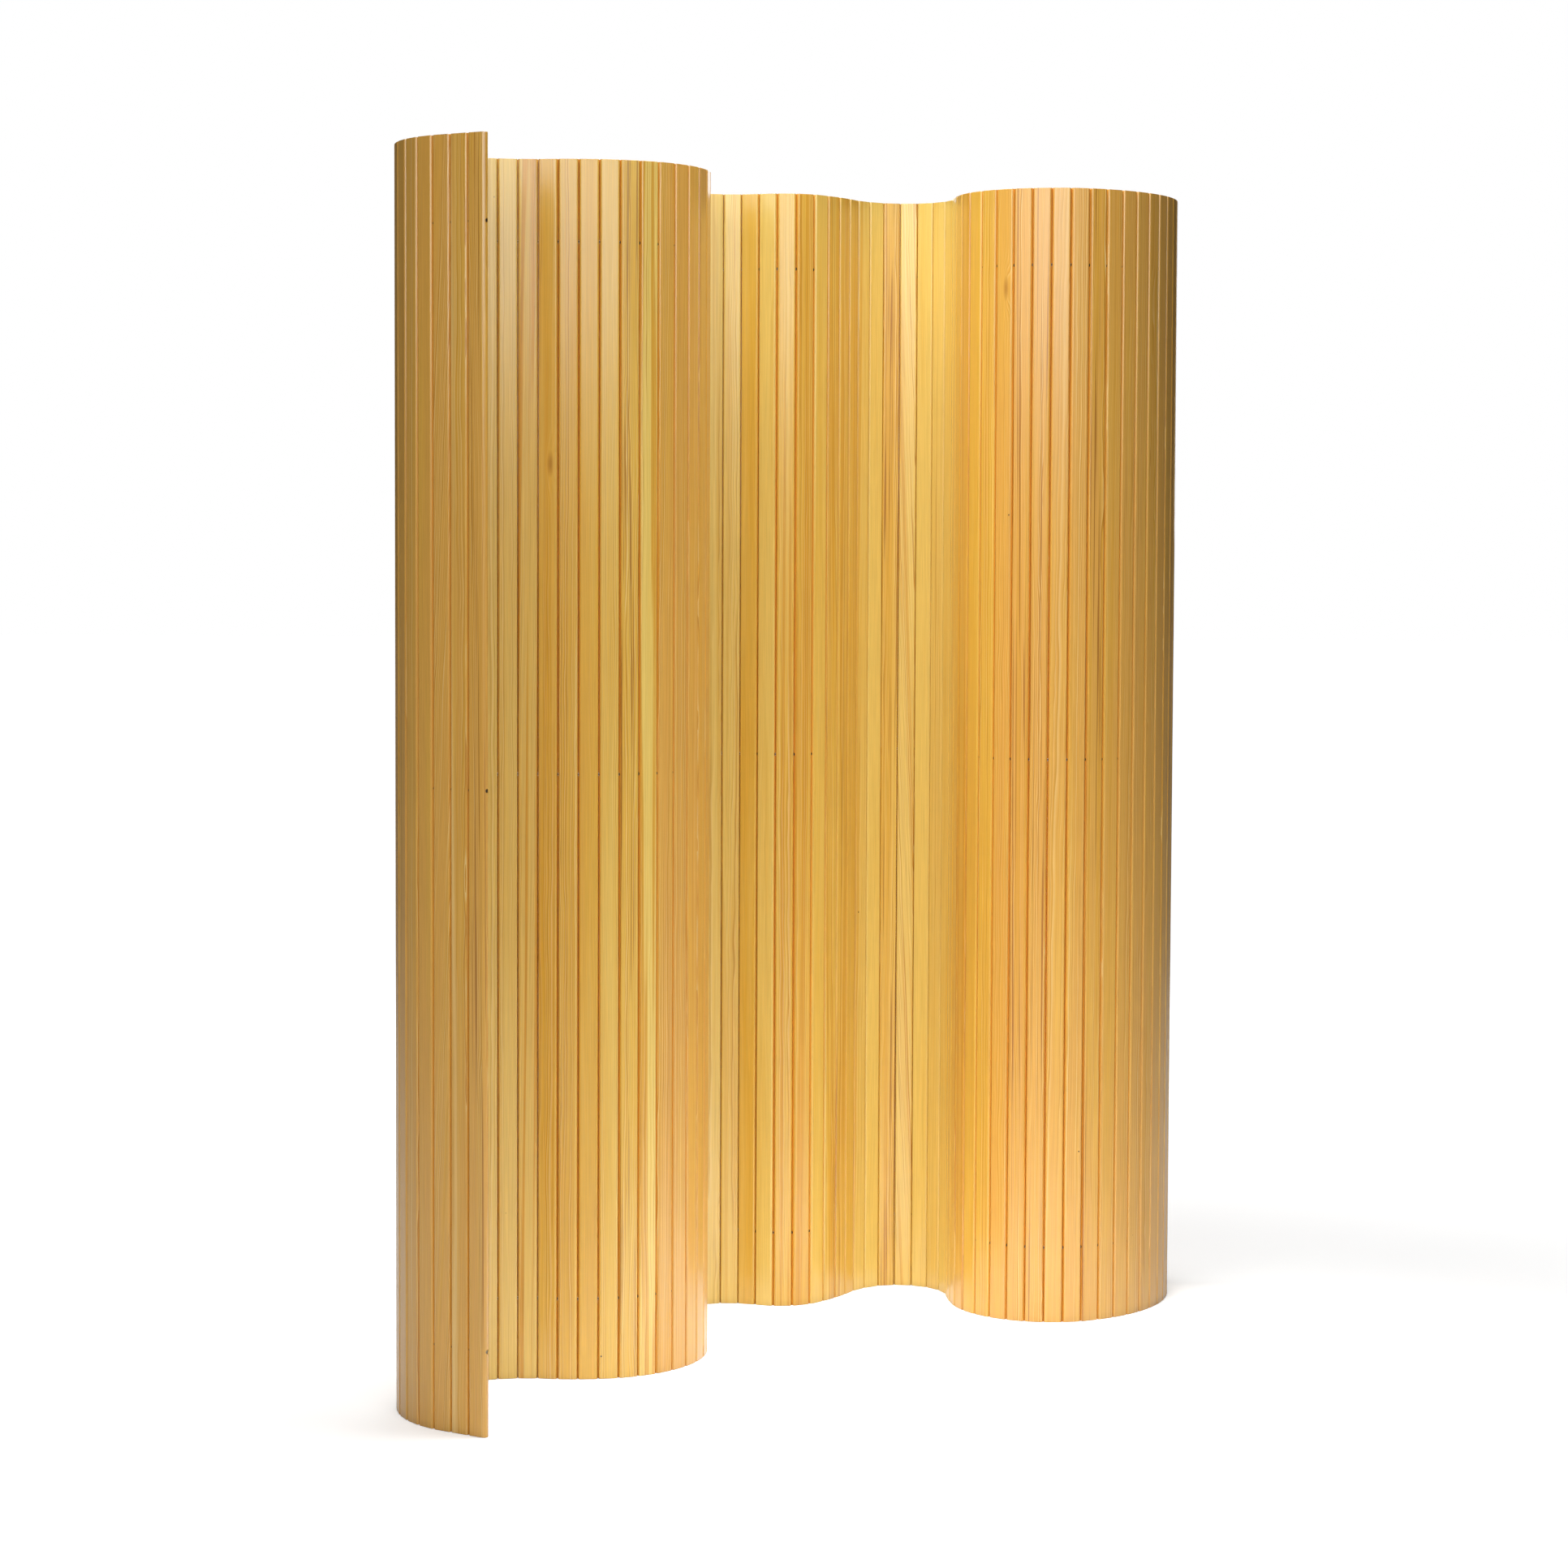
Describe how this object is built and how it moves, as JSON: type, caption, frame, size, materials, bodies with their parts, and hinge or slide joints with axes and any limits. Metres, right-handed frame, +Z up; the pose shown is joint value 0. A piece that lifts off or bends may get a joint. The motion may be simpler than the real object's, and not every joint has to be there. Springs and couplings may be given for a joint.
{
  "type": "flexible slatted screen",
  "caption": "Free-standing flexible screen of upright wooden slats strung edge to edge on taut steel cables, standing in a wave; neighbouring slats hinge on the cables.",
  "frame": {"origin": "on the floor, at the centre of the box of the plan at rest", "axes": "+Z up along the slats, +Y from the near free end towards the far one, +X to the right as seen from the near side"},
  "size_m": [0.9984, 0.8298, 1.5],
  "materials": {
    "pine": "clear satin lacquer",
    "cable": "stranded",
    "stop": "crimped"
  },
  "bodies": {
    "slat_01": {"slat_01": "pine", "near_cable_stops": "stop"},
    "slat_02_03": {"slat_02_03": "pine"},
    "slat_04": {"slat_04": "pine"},
    "slat_05": {"slat_05": "pine"},
    "slat_06": {"slat_06": "pine"},
    "slat_07": {"slat_07": "pine"},
    "slat_08": {"slat_08": "pine"},
    "slat_09": {"slat_09": "pine"},
    "slat_10": {"slat_10": "pine"},
    "slat_11": {"slat_11": "pine"},
    "slat_12": {"slat_12": "pine"},
    "slat_13": {"slat_13": "pine"},
    "slat_14_15": {"slat_14_15": "pine"},
    "slat_16_17": {"slat_16_17": "pine"},
    "slat_18_19": {"slat_18_19": "pine"},
    "slat_20_21": {"slat_20_21": "pine"},
    "slat_22_23": {"slat_22_23": "pine"},
    "slat_24_25": {"slat_24_25": "pine"},
    "slat_26_27": {"slat_26_27": "pine"},
    "slat_28_29": {"slat_28_29": "pine"},
    "slat_30_31": {"slat_30_31": "pine"},
    "slat_32_33": {"slat_32_33": "pine"},
    "slat_34_35": {"slat_34_35": "pine"},
    "slat_36": {"slat_36": "pine"},
    "slat_37": {"slat_37": "pine"},
    "slat_38": {"slat_38": "pine"},
    "slat_39": {"slat_39": "pine"},
    "slat_40": {"slat_40": "pine"},
    "slat_41": {"slat_41": "pine"},
    "slat_42": {"slat_42": "pine"},
    "slat_43_44": {"slat_43_44": "pine", "upper_cable": "cable", "middle_cable": "cable", "lower_cable": "cable"},
    "slat_45": {"slat_45": "pine"},
    "slat_46": {"slat_46": "pine"},
    "slat_47_48": {"slat_47_48": "pine"},
    "slat_49_50": {"slat_49_50": "pine"},
    "slat_51": {"slat_51": "pine"},
    "slat_52": {"slat_52": "pine"},
    "slat_53": {"slat_53": "pine"},
    "slat_54": {"slat_54": "pine"},
    "slat_55": {"slat_55": "pine"},
    "slat_56": {"slat_56": "pine"},
    "slat_57": {"slat_57": "pine"},
    "slat_58_59": {"slat_58_59": "pine"},
    "slat_60": {"slat_60": "pine"},
    "slat_61_62": {"slat_61_62": "pine"},
    "slat_63_64": {"slat_63_64": "pine"},
    "slat_65_66": {"slat_65_66": "pine"},
    "slat_67_68": {"slat_67_68": "pine"},
    "slat_69": {"slat_69": "pine"},
    "slat_70_71": {"slat_70_71": "pine"},
    "slat_72_73": {"slat_72_73": "pine"},
    "slat_74_75": {"slat_74_75": "pine"},
    "slat_76_77": {"slat_76_77": "pine"},
    "slat_78_79": {"slat_78_79": "pine"},
    "slat_80": {"slat_80": "pine", "far_cable_stops": "stop"}
  },
  "joints": [
    {"name": "hinge_01_02", "type": "hinge", "parent": "slat_02_03", "child": "slat_01", "pos_m": [-0.39993, -0.39992, 0.75], "axis": [0, 0, -1], "range_deg": [-29.5, 30.5], "deforming": ["upper_cable", "middle_cable", "lower_cable"]},
    {"name": "hinge_03_04", "type": "hinge", "parent": "slat_04", "child": "slat_02_03", "pos_m": [-0.44267, -0.37398, 0.75], "axis": [0, 0, -1], "range_deg": [-19, 41], "deforming": ["upper_cable", "middle_cable", "lower_cable"]},
    {"name": "hinge_04_05", "type": "hinge", "parent": "slat_05", "child": "slat_04", "pos_m": [-0.4611, -0.35709, 0.75], "axis": [0, 0, 1], "range_deg": [-41, 19], "deforming": ["upper_cable", "middle_cable", "lower_cable"]},
    {"name": "hinge_05_06", "type": "hinge", "parent": "slat_06", "child": "slat_05", "pos_m": [-0.47597, -0.337, 0.75], "axis": [0, 0, 1], "range_deg": [-41, 19], "deforming": ["upper_cable", "middle_cable", "lower_cable"]},
    {"name": "hinge_06_07", "type": "hinge", "parent": "slat_07", "child": "slat_06", "pos_m": [-0.48674, -0.31443, 0.75], "axis": [0, 0, 1], "range_deg": [-41, 19], "deforming": ["upper_cable", "middle_cable", "lower_cable"]},
    {"name": "hinge_07_08", "type": "hinge", "parent": "slat_08", "child": "slat_07", "pos_m": [-0.493, -0.29023, 0.75], "axis": [0, 0, 1], "range_deg": [-41, 19], "deforming": ["upper_cable", "middle_cable", "lower_cable"]},
    {"name": "hinge_08_09", "type": "hinge", "parent": "slat_09", "child": "slat_08", "pos_m": [-0.49452, -0.26527, 0.75], "axis": [0, 0, -1], "range_deg": [-19, 41], "deforming": ["upper_cable", "middle_cable", "lower_cable"]},
    {"name": "hinge_09_10", "type": "hinge", "parent": "slat_10", "child": "slat_09", "pos_m": [-0.49126, -0.24049, 0.75], "axis": [0, 0, -1], "range_deg": [-19, 41], "deforming": ["upper_cable", "middle_cable", "lower_cable"]},
    {"name": "hinge_10_11", "type": "hinge", "parent": "slat_11", "child": "slat_10", "pos_m": [-0.48333, -0.21678, 0.75], "axis": [0, 0, -1], "range_deg": [-19, 41], "deforming": ["upper_cable", "middle_cable", "lower_cable"]},
    {"name": "hinge_11_12", "type": "hinge", "parent": "slat_12", "child": "slat_11", "pos_m": [-0.47102, -0.19502, 0.75], "axis": [0, 0, -1], "range_deg": [-19, 41], "deforming": ["upper_cable", "middle_cable", "lower_cable"]},
    {"name": "hinge_12_13", "type": "hinge", "parent": "slat_13", "child": "slat_12", "pos_m": [-0.45478, -0.17601, 0.75], "axis": [0, 0, 1], "range_deg": [-41, 19], "deforming": ["upper_cable", "middle_cable", "lower_cable"]},
    {"name": "hinge_13_14", "type": "hinge", "parent": "slat_14_15", "child": "slat_13", "pos_m": [-0.43522, -0.16045, 0.75], "axis": [0, 0, 1], "range_deg": [-41, 19], "deforming": ["upper_cable", "middle_cable", "lower_cable"]},
    {"name": "hinge_15_16", "type": "hinge", "parent": "slat_16_17", "child": "slat_14_15", "pos_m": [-0.38933, -0.14097, 0.75], "axis": [0, 0, 1], "range_deg": [-39, 21], "deforming": ["upper_cable", "middle_cable", "lower_cable"]},
    {"name": "hinge_17_18", "type": "hinge", "parent": "slat_18_19", "child": "slat_16_17", "pos_m": [-0.33968, -0.13663, 0.75], "axis": [0, 0, 1], "range_deg": [-39, 21], "deforming": ["upper_cable", "middle_cable", "lower_cable"]},
    {"name": "hinge_19_20", "type": "hinge", "parent": "slat_20_21", "child": "slat_18_19", "pos_m": [-0.28997, -0.1412, 0.75], "axis": [0, 0, -1], "range_deg": [-36.5, 23.5], "deforming": ["upper_cable", "middle_cable", "lower_cable"]},
    {"name": "hinge_21_22", "type": "hinge", "parent": "slat_22_23", "child": "slat_20_21", "pos_m": [-0.2405, -0.13446, 0.75], "axis": [0, 0, -1], "range_deg": [-40, 20], "deforming": ["upper_cable", "middle_cable", "lower_cable"]},
    {"name": "hinge_23_24", "type": "hinge", "parent": "slat_24_25", "child": "slat_22_23", "pos_m": [-0.19573, -0.11263, 0.75], "axis": [0, 0, -1], "range_deg": [-40, 20], "deforming": ["upper_cable", "middle_cable", "lower_cable"]},
    {"name": "hinge_25_26", "type": "hinge", "parent": "slat_26_27", "child": "slat_24_25", "pos_m": [-0.16113, -0.0768, 0.75], "axis": [0, 0, -1], "range_deg": [-40, 20], "deforming": ["upper_cable", "middle_cable", "lower_cable"]},
    {"name": "hinge_27_28", "type": "hinge", "parent": "slat_28_29", "child": "slat_26_27", "pos_m": [-0.14087, -0.0313, 0.75], "axis": [0, 0, 1], "range_deg": [-20, 40], "deforming": ["upper_cable", "middle_cable", "lower_cable"]},
    {"name": "hinge_29_30", "type": "hinge", "parent": "slat_30_31", "child": "slat_28_29", "pos_m": [-0.1374, 0.01839, 0.75], "axis": [0, 0, 1], "range_deg": [-20, 40], "deforming": ["upper_cable", "middle_cable", "lower_cable"]},
    {"name": "hinge_31_32", "type": "hinge", "parent": "slat_32_33", "child": "slat_30_31", "pos_m": [-0.14843, 0.06714, 0.75], "axis": [0, 0, 1], "range_deg": [-26.5, 33.5], "deforming": ["upper_cable", "middle_cable", "lower_cable"]},
    {"name": "hinge_33_34", "type": "hinge", "parent": "slat_34_35", "child": "slat_32_33", "pos_m": [-0.16532, 0.11417, 0.75], "axis": [0, 0, 1], "range_deg": [-26.5, 33.5], "deforming": ["upper_cable", "middle_cable", "lower_cable"]},
    {"name": "hinge_35_36", "type": "hinge", "parent": "slat_36", "child": "slat_34_35", "pos_m": [-0.18781, 0.1588, 0.75], "axis": [0, 0, -1], "range_deg": [-13, 47], "deforming": ["upper_cable", "middle_cable", "lower_cable"]},
    {"name": "hinge_36_37", "type": "hinge", "parent": "slat_37", "child": "slat_36", "pos_m": [-0.19279, 0.1833, 0.75], "axis": [0, 0, -1], "range_deg": [-13, 47], "deforming": ["upper_cable", "middle_cable", "lower_cable"]},
    {"name": "hinge_37_38", "type": "hinge", "parent": "slat_38", "child": "slat_37", "pos_m": [-0.1904, 0.20819, 0.75], "axis": [0, 0, -1], "range_deg": [-13, 47], "deforming": ["upper_cable", "middle_cable", "lower_cable"]},
    {"name": "hinge_38_39", "type": "hinge", "parent": "slat_39", "child": "slat_38", "pos_m": [-0.18083, 0.23128, 0.75], "axis": [0, 0, -1], "range_deg": [-13, 47], "deforming": ["upper_cable", "middle_cable", "lower_cable"]},
    {"name": "hinge_39_40", "type": "hinge", "parent": "slat_40", "child": "slat_39", "pos_m": [-0.16493, 0.25057, 0.75], "axis": [0, 0, 1], "range_deg": [-47, 13], "deforming": ["upper_cable", "middle_cable", "lower_cable"]},
    {"name": "hinge_40_41", "type": "hinge", "parent": "slat_41", "child": "slat_40", "pos_m": [-0.14408, 0.26437, 0.75], "axis": [0, 0, 1], "range_deg": [-47, 13], "deforming": ["upper_cable", "middle_cable", "lower_cable"]},
    {"name": "hinge_41_42", "type": "hinge", "parent": "slat_42", "child": "slat_41", "pos_m": [-0.12011, 0.27147, 0.75], "axis": [0, 0, 1], "range_deg": [-47, 13], "deforming": ["upper_cable", "middle_cable", "lower_cable"]},
    {"name": "hinge_42_43", "type": "hinge", "parent": "slat_43_44", "child": "slat_42", "pos_m": [-0.09511, 0.27125, 0.75], "axis": [0, 0, 1], "range_deg": [-47, 13], "deforming": ["upper_cable", "middle_cable", "lower_cable"]},
    {"name": "hinge_44_45", "type": "hinge", "parent": "slat_43_44", "child": "slat_45", "pos_m": [-0.04749, 0.25601, 0.75], "axis": [0, 0, 1], "range_deg": [-51, 9], "deforming": ["upper_cable", "middle_cable", "lower_cable"]},
    {"name": "hinge_45_46", "type": "hinge", "parent": "slat_45", "child": "slat_46", "pos_m": [-0.02253, 0.25732, 0.75], "axis": [0, 0, 1], "range_deg": [-51, 9], "deforming": ["upper_cable", "middle_cable", "lower_cable"]},
    {"name": "hinge_46_47", "type": "hinge", "parent": "slat_46", "child": "slat_47_48", "pos_m": [0.00031, 0.26749, 0.75], "axis": [0, 0, 1], "range_deg": [-51, 9], "deforming": ["upper_cable", "middle_cable", "lower_cable"]},
    {"name": "hinge_48_49", "type": "hinge", "parent": "slat_47_48", "child": "slat_49_50", "pos_m": [0.03389, 0.30446, 0.75], "axis": [0, 0, 1], "range_deg": [-35.5, 24.5], "deforming": ["upper_cable", "middle_cable", "lower_cable"]},
    {"name": "hinge_50_51", "type": "hinge", "parent": "slat_49_50", "child": "slat_51", "pos_m": [0.0598, 0.34715, 0.75], "axis": [0, 0, -1], "range_deg": [-43.5, 16.5], "deforming": ["upper_cable", "middle_cable", "lower_cable"]},
    {"name": "hinge_51_52", "type": "hinge", "parent": "slat_51", "child": "slat_52", "pos_m": [0.07653, 0.36573, 0.75], "axis": [0, 0, -1], "range_deg": [-43.5, 16.5], "deforming": ["upper_cable", "middle_cable", "lower_cable"]},
    {"name": "hinge_52_53", "type": "hinge", "parent": "slat_52", "child": "slat_53", "pos_m": [0.09713, 0.37989, 0.75], "axis": [0, 0, -1], "range_deg": [-50.5, 9.5], "deforming": ["upper_cable", "middle_cable", "lower_cable"]},
    {"name": "hinge_53_54", "type": "hinge", "parent": "slat_53", "child": "slat_54", "pos_m": [0.12139, 0.38594, 0.75], "axis": [0, 0, -1], "range_deg": [-50.5, 9.5], "deforming": ["upper_cable", "middle_cable", "lower_cable"]},
    {"name": "hinge_54_55", "type": "hinge", "parent": "slat_54", "child": "slat_55", "pos_m": [0.14623, 0.38311, 0.75], "axis": [0, 0, 1], "range_deg": [-9.5, 50.5], "deforming": ["upper_cable", "middle_cable", "lower_cable"]},
    {"name": "hinge_55_56", "type": "hinge", "parent": "slat_55", "child": "slat_56", "pos_m": [0.1685, 0.37176, 0.75], "axis": [0, 0, 1], "range_deg": [-9.5, 50.5], "deforming": ["upper_cable", "middle_cable", "lower_cable"]},
    {"name": "hinge_56_57", "type": "hinge", "parent": "slat_56", "child": "slat_57", "pos_m": [0.18539, 0.35333, 0.75], "axis": [0, 0, 1], "range_deg": [-9.5, 50.5], "deforming": ["upper_cable", "middle_cable", "lower_cable"]},
    {"name": "hinge_57_58", "type": "hinge", "parent": "slat_57", "child": "slat_58_59", "pos_m": [0.19476, 0.33015, 0.75], "axis": [0, 0, 1], "range_deg": [-9.5, 50.5], "deforming": ["upper_cable", "middle_cable", "lower_cable"]},
    {"name": "hinge_59_60", "type": "hinge", "parent": "slat_58_59", "child": "slat_60", "pos_m": [0.19803, 0.28029, 0.75], "axis": [0, 0, -1], "range_deg": [-25.5, 34.5], "deforming": ["upper_cable", "middle_cable", "lower_cable"]},
    {"name": "hinge_60_61", "type": "hinge", "parent": "slat_60", "child": "slat_61_62", "pos_m": [0.20258, 0.25571, 0.75], "axis": [0, 0, -1], "range_deg": [-18.5, 41.5], "deforming": ["upper_cable", "middle_cable", "lower_cable"]},
    {"name": "hinge_62_63", "type": "hinge", "parent": "slat_61_62", "child": "slat_63_64", "pos_m": [0.22574, 0.21169, 0.75], "axis": [0, 0, -1], "range_deg": [-18.5, 41.5], "deforming": ["upper_cable", "middle_cable", "lower_cable"]},
    {"name": "hinge_64_65", "type": "hinge", "parent": "slat_63_64", "child": "slat_65_66", "pos_m": [0.26427, 0.18021, 0.75], "axis": [0, 0, -1], "range_deg": [-18.5, 41.5], "deforming": ["upper_cable", "middle_cable", "lower_cable"]},
    {"name": "hinge_66_67", "type": "hinge", "parent": "slat_65_66", "child": "slat_67_68", "pos_m": [0.31203, 0.16629, 0.75], "axis": [0, 0, 1], "range_deg": [-41.5, 18.5], "deforming": ["upper_cable", "middle_cable", "lower_cable"]},
    {"name": "hinge_68_69", "type": "hinge", "parent": "slat_67_68", "child": "slat_69", "pos_m": [0.36143, 0.17214, 0.75], "axis": [0, 0, 1], "range_deg": [-41.5, 18.5], "deforming": ["upper_cable", "middle_cable", "lower_cable"]},
    {"name": "hinge_69_70", "type": "hinge", "parent": "slat_69", "child": "slat_70_71", "pos_m": [0.38427, 0.1823, 0.75], "axis": [0, 0, 1], "range_deg": [-37, 23], "deforming": ["upper_cable", "middle_cable", "lower_cable"]},
    {"name": "hinge_71_72", "type": "hinge", "parent": "slat_70_71", "child": "slat_72_73", "pos_m": [0.4254, 0.21057, 0.75], "axis": [0, 0, 1], "range_deg": [-37, 23], "deforming": ["upper_cable", "middle_cable", "lower_cable"]},
    {"name": "hinge_73_74", "type": "hinge", "parent": "slat_72_73", "child": "slat_74_75", "pos_m": [0.45847, 0.24795, 0.75], "axis": [0, 0, -1], "range_deg": [-23, 37], "deforming": ["upper_cable", "middle_cable", "lower_cable"]},
    {"name": "hinge_75_76", "type": "hinge", "parent": "slat_74_75", "child": "slat_76_77", "pos_m": [0.48152, 0.29222, 0.75], "axis": [0, 0, -1], "range_deg": [-23, 37], "deforming": ["upper_cable", "middle_cable", "lower_cable"]},
    {"name": "hinge_77_78", "type": "hinge", "parent": "slat_76_77", "child": "slat_78_79", "pos_m": [0.49317, 0.34074, 0.75], "axis": [0, 0, -1], "range_deg": [-23, 37], "deforming": ["upper_cable", "middle_cable", "lower_cable"]},
    {"name": "hinge_79_80", "type": "hinge", "parent": "slat_78_79", "child": "slat_80", "pos_m": [0.49273, 0.39065, 0.75], "axis": [0, 0, -1], "range_deg": [-23, 37], "deforming": ["upper_cable", "middle_cable", "lower_cable"]}
  ]
}
